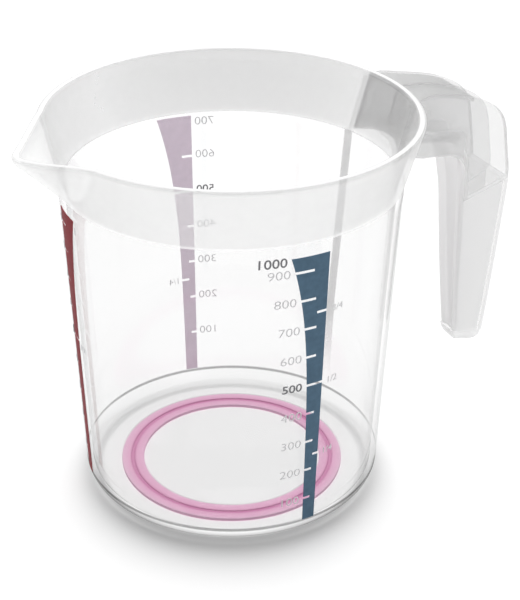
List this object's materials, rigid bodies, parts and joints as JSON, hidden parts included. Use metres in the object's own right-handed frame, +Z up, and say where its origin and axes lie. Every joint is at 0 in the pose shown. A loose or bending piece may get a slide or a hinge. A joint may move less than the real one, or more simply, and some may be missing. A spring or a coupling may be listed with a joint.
{
  "type": "measuring jug",
  "caption": "Clear tapered measuring jug with a frosted pouring collar and spout, an open hook handle, printed coloured scales and a non-slip base ring.",
  "frame": {"origin": "on the jug's axis, in the plane of the table under the base ring", "axes": "+Z up along the jug's axis, +X towards the handle, the spout at -X"},
  "size_m": [0.1795, 0.1278, 0.1365],
  "materials": {
    "clear_plastic": "clear, polished",
    "frosted_plastic": "frosted, fine texture",
    "handle_plastic": "frosted, fine texture",
    "pink_rubber": "soft matte elastomer",
    "blue_ink": "printed ink",
    "red_ink": "printed ink",
    "mauve_ink": "printed ink",
    "grey_ink": "printed ink"
  },
  "bodies": {
    "root": {"vessel": "clear_plastic", "collar": "frosted_plastic", "handle_shell": "handle_plastic", "handle_cover": "handle_plastic", "base_ring": "pink_rubber", "blue_scale_bar": "blue_ink", "blue_scale_numbers": "grey_ink", "red_scale_bar": "red_ink", "red_scale_numbers": "grey_ink", "mauve_scale_bar": "mauve_ink", "mauve_scale_numbers": "grey_ink"}
  },
  "joints": []
}
